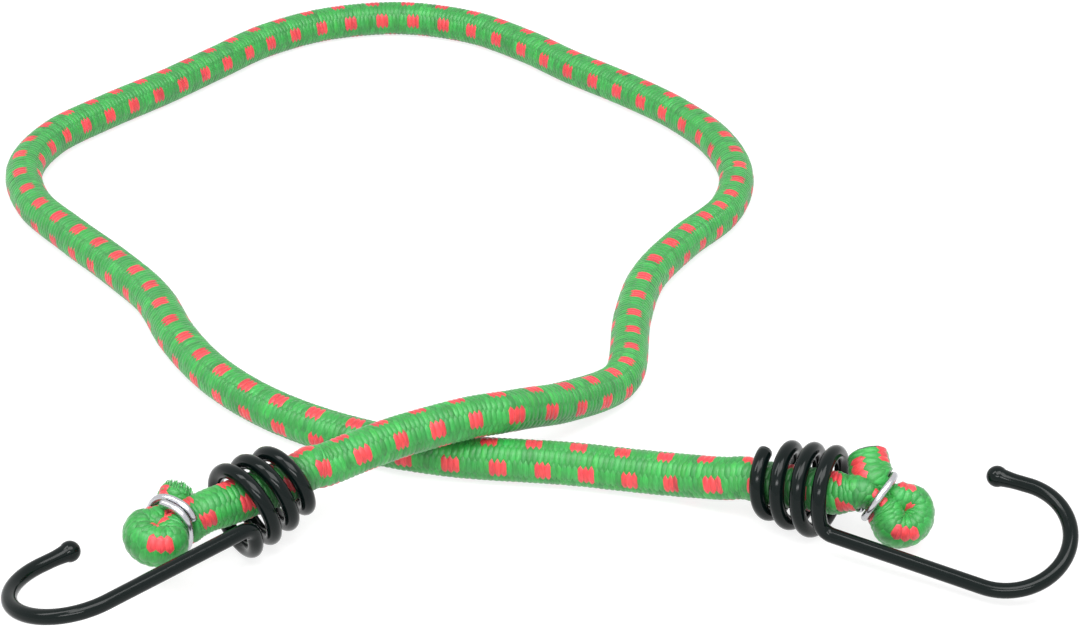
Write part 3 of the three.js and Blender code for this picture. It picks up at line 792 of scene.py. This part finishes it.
def coat_mesh(line, opening, back):
    """The coat: a tube with a ball tip, open at its cut end, where the steel wire shows in a short bore."""
    neck = math.sqrt(BALL_RADIUS ** 2 - NECK_RADIUS ** 2)
    centre = line[-1] + back * neck
    at_neck = math.pi - math.asin(NECK_RADIUS / BALL_RADIUS)
    polar = np.linspace(at_neck, BALL_LAST_ANGLE, BALL_STEPS)[1:]
    ball = centre + back * (BALL_RADIUS * np.cos(polar))[:, None]
    flare = np.full(len(line), COATED_RADIUS)
    flare[-NECK_STEPS:] += (NECK_RADIUS - COATED_RADIUS) * np.linspace(0, 1, NECK_STEPS) ** NECK_POWER
    radii = np.concatenate([flare, BALL_RADIUS * np.sin(polar)])
    verts, faces, ends = tube(np.vstack([line, ball]), radii, opening, COAT_SIDES)
    lip = line[0] + (verts[:COAT_SIDES] - line[0]) * BORE_RADIUS / COATED_RADIUS
    inner = lip + unit(line[1] - line[0]) * BORE_DEPTH
    k = np.arange(COAT_SIDES)
    following = (k + 1) % COAT_SIDES
    on_lip = len(verts)
    on_inner = on_lip + COAT_SIDES
    annulus = np.stack([k, k + on_lip, following + on_lip, following], axis=1)
    bore_wall = np.stack([k + on_lip, k + on_inner, following + on_inner, following + on_lip], axis=1)
    ends = [k[::-1] + on_inner, ends[1]]
    return np.vstack([verts, lip, inner]), np.vstack([faces, annulus, bore_wall]), ends


def clip_mesh(end):
    thick, wide = end["squeezed"]
    across = 2 * thick + STRAND_GAP / 2 + CLIP_GAP + CLIP_RADIUS
    half_width = wide + CLIP_GAP + CLIP_RADIUS
    turn = CLIP_TURNS * (np.linspace(0, 1, CLIP_STEPS) - 0.5)
    angle = 2 * math.pi * (turn + 0.5) + math.radians(end["lap"])
    squared = lambda v: np.sign(v) * np.abs(v) ** CLIP_SQUARENESS
    line = np.stack([(2 * CLIP_RADIUS + CLIP_LAP_GAP) * turn, across * squared(np.cos(angle)),
                     half_width * squared(np.sin(angle))], axis=1)
    radii = np.full(len(line), CLIP_RADIUS)
    radii[[0, -1]] *= CLIP_END_SHARE
    return tube(line, radii, (1, 0, 0), CLIP_SIDES)


pieces = {"hook_coat": [], "hook_wire": [], "clip": []}
line, opening, back = hook_line()
coat = coat_mesh(line, opening, back)
wire = tube(line, np.full(len(line), WIRE_RADIUS), opening, WIRE_SIDES)
for end in (LEFT, RIGHT):
    for kind, label, where, (verts, faces, ends), body, slot in (
            ("hook_coat", "_coated_hook", "winding", coat, "_hook", "hook_coat"),
            ("hook_wire", "_steel_wire", "winding", wire, "_hook", "hook_wire"),
            ("clip", "_wire_clip", "loop", clip_mesh(end), "_end", "clip_wire")):
        obj = solid(end["name"] + label, inside(end[where], verts), faces, ends)
        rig.ride(obj, end["name"] + body)
        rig.replaces(obj, end["name"] + "_" + kind)
        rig.slot(obj, slot)
        pieces[kind].append(obj)


# Materials
class Nodes:
    """A node tree with short ways to add and join nodes."""

    def __init__(self, owner, output):
        owner.use_nodes = True
        self.tree = owner.node_tree
        self.tree.nodes.clear()
        self.output = self.add(output)

    def add(self, kind, **settings):
        node = self.tree.nodes.new(kind)
        for key, value in settings.items():
            setattr(node, key, value)
        return node

    def join(self, source, target):
        self.tree.links.new(source, target)

    def principled(self, **values):
        node = self.add("ShaderNodeBsdfPrincipled")
        for key, value in values.items():
            node.inputs[key.replace("_", " ")].default_value = value
        self.join(node.outputs[0], self.output.inputs["Surface"])
        return node

    def math(self, operation, a, b):
        node = self.add("ShaderNodeMath", operation=operation)
        self.join(a, node.inputs[0])
        self.join(b, node.inputs[1])
        return node.outputs[0]

    def noise(self, vector, scale, detail, roughness=0.5):
        node = self.add("ShaderNodeTexNoise")
        node.inputs["Scale"].default_value = scale
        node.inputs["Detail"].default_value = detail
        node.inputs["Roughness"].default_value = roughness
        self.join(vector, node.inputs["Vector"])
        return node.outputs["Fac"]

    def stretched(self, vector, scale):
        node = self.add("ShaderNodeVectorMath", operation="MULTIPLY")
        self.join(vector, node.inputs[0])
        node.inputs[1].default_value = scale
        return node.outputs[0]

    def spread(self, value, given, wanted):
        node = self.add("ShaderNodeMapRange")
        self.join(value, node.inputs["Value"])
        for key, v in zip(("From Min", "From Max", "To Min", "To Max"), (*given, *wanted)):
            node.inputs[key].default_value = v
        return node.outputs[0]

    def bump(self, height, strength, distance, shader):
        node = self.add("ShaderNodeBump")
        node.inputs["Strength"].default_value = strength
        node.inputs["Distance"].default_value = distance
        self.join(height, node.inputs["Height"])
        self.join(node.outputs[0], shader.inputs["Normal"])

    def seen_ray(self):
        """1 on rays from the camera, also by way of a mirror or glass, and 0 on rays that carry light."""
        ray = self.add("ShaderNodeLightPath").outputs
        seen = self.math("MAXIMUM", ray["Is Camera Ray"], ray["Is Glossy Ray"])
        return self.math("MAXIMUM", seen, ray["Is Transmission Ray"])


def new_material(name):
    material = bpy.data.materials.new(name)
    return material, Nodes(material, "ShaderNodeOutputMaterial")


# The range that most of a noise's values lie in
NOISE = (0.3, 0.7)

# The braid's two noises: how they are stretched on a strand, and the shades that they run between. The last
# pair is painted shade: how bright a strand on top and one that has dived are, over a range of hiding.
LINE_STRETCH, LINE_SHADES = (0.8, 11, 1), (0.78, 1.22)
BROAD_STRETCH, BROAD_SHADES = (0.5, 3, 1), (0.9, 1.1)
HIDE_RANGE, DIVE_PAINTED_SHADES = (0.1, 1.0), (1.0, 0.7)

# Heights of the bumps, in metres
BRAID_BUMP, GRAIN_BUMP = 0.00006, 0.0001


def braid_material():
    """Silky filament strands in the strand's dye, with fine lines along it, and painted shade where it dives."""
    material, n = new_material("braid")
    shader = n.principled(Roughness=0.42, Sheen_Weight=0.25, Sheen_Roughness=0.35)
    dye, lay, dive_shade = (n.add("ShaderNodeAttribute", attribute_name=name) for name in ("dye", "lay", "dive_shade"))
    lines = n.noise(n.stretched(lay.outputs["Vector"], LINE_STRETCH), scale=1.0, detail=2.0)
    broad = n.noise(n.stretched(lay.outputs["Vector"], BROAD_STRETCH), scale=1.0, detail=1.0)
    shade = n.math("MULTIPLY", n.spread(lines, NOISE, LINE_SHADES), n.spread(broad, NOISE, BROAD_SHADES))
    # Painted shade: a strand is darker where it dives under its neighbours
    shade = n.math("MULTIPLY", shade, n.spread(dive_shade.outputs["Fac"], HIDE_RANGE, DIVE_PAINTED_SHADES))
    colour = n.add("ShaderNodeVectorMath", operation="SCALE")
    n.join(dye.outputs["Color"], colour.inputs[0])
    n.join(shade, colour.inputs["Scale"])
    n.join(colour.outputs[0], shader.inputs["Base Color"])
    n.bump(lines, strength=0.35, distance=BRAID_BUMP, shader=shader)
    return material


def plain_material(name, base, metallic, roughness, spread, scale, bump, specular=0.5):
    """One colour whose roughness wanders by a spread in a fine grain, which also lifts it a little."""
    material, n = new_material(name)
    shader = n.principled(Base_Color=(*base, 1), Metallic=metallic, Specular_IOR_Level=specular)
    grain = n.noise(n.add("ShaderNodeTexCoord").outputs["Object"], scale, detail=4.0, roughness=0.6)
    n.join(n.spread(grain, NOISE, (roughness - spread, roughness + spread)), shader.inputs["Roughness"])
    n.bump(grain, strength=bump, distance=GRAIN_BUMP, shader=shader)
    return material


def dress(objects, material):
    for obj in objects:
        obj.data.materials.clear()
        obj.data.materials.append(material)


dress([left_half, right_half, left_loop, right_loop, left_core_end, left_frayed_end, right_melted_end],
      braid_material())
dress(pieces["hook_coat"], plain_material(
    "black_plastic", base=(0.002, 0.0052, 0.0048), metallic=0, roughness=0.14, spread=0.04, scale=900,
    bump=0.08, specular=0.185))
dress(pieces["hook_wire"], plain_material(
    "steel", base=(0.55, 0.56, 0.57), metallic=1, roughness=0.35, spread=0.1, scale=1500, bump=0.1))
dress(pieces["clip"], plain_material(
    "zinc_wire", base=(0.52, 0.52, 0.55), metallic=1, roughness=0.24, spread=0.08, scale=1800, bump=0.15))

# Stage and light: a white floor that takes soft shadows, and a white room that lights less than it shows
FLOOR_REACH, FLOOR_DROP = 4, 0.0001
FLOOR_GLOW, FLOOR_SHADED, FLOOR_BOUNCE = 0.8, 0.28, 0.85
WORLD_LEVEL = 0.4


def floor_material():
    material, n = new_material("white_floor")
    glow, shaded, bounce = (n.add(kind) for kind in (
        "ShaderNodeEmission", "ShaderNodeBsdfDiffuse", "ShaderNodeBsdfDiffuse"))
    glow.inputs["Strength"].default_value = FLOOR_GLOW
    shaded.inputs["Color"].default_value = (FLOOR_SHADED,) * 3 + (1,)
    bounce.inputs["Color"].default_value = (FLOOR_BOUNCE,) * 3 + (1,)
    both, look = n.add("ShaderNodeAddShader"), n.add("ShaderNodeMixShader")
    for source, target in (
            (glow.outputs[0], both.inputs[0]), (shaded.outputs[0], both.inputs[1]),
            (n.seen_ray(), look.inputs["Fac"]), (bounce.outputs[0], look.inputs[1]),
            (both.outputs[0], look.inputs[2]), (look.outputs[0], n.output.inputs["Surface"])):
        n.join(source, target)
    return material


def light_room():
    world = bpy.data.worlds.new("world")
    bpy.context.scene.world = world
    n = Nodes(world, "ShaderNodeOutputWorld")
    background = n.add("ShaderNodeBackground")
    background.inputs["Color"].default_value = (1, 1, 1, 1)
    n.join(n.spread(n.seen_ray(), (0, 1), (WORLD_LEVEL, 1)), background.inputs["Strength"])
    n.join(background.outputs[0], n.output.inputs["Surface"])


def lamp(name, place, target, size, watts):
    data = bpy.data.lights.new(name, "AREA")
    data.shape = "RECTANGLE"
    data.size, data.size_y = size
    data.energy = watts
    obj = add_object(name, data, place)
    obj.rotation_euler = (Vector(target) - Vector(place)).to_track_quat("-Z", "Y").to_euler()


floor_mesh = bpy.data.meshes.new("floor")
floor_corners = [(x * FLOOR_REACH, y * FLOOR_REACH, 0) for x, y in ((-1, -1), (1, -1), (1, 1), (-1, 1))]
floor_mesh.from_pydata(floor_corners, [], [(0, 1, 2, 3)])
floor = add_object("floor", floor_mesh, (0, 0, -FLOOR_DROP))
dress([floor], floor_material())
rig.stage(floor)

light_room()
lamp("top", place=(0.2, -0.45, 1.2), target=(0, 0.1, 0), size=(1.2, 0.7), watts=17)
lamp("front", place=(-0.15, -1.2, 0.75), target=(0, 0.1, 0), size=(0.9, 0.22), watts=7)
lamp("left", place=(-0.62, -0.15, 1.05), target=(0.05, 0.02, 0), size=(0.3, 0.8), watts=6)

bpy.context.scene.view_settings.view_transform = "Standard"

json.dump({"cad": [list(map(float, c)) for c in CAD_BOX],
           "visual": [list(map(float, c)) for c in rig.bounds()]}, open("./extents.json", "w"))
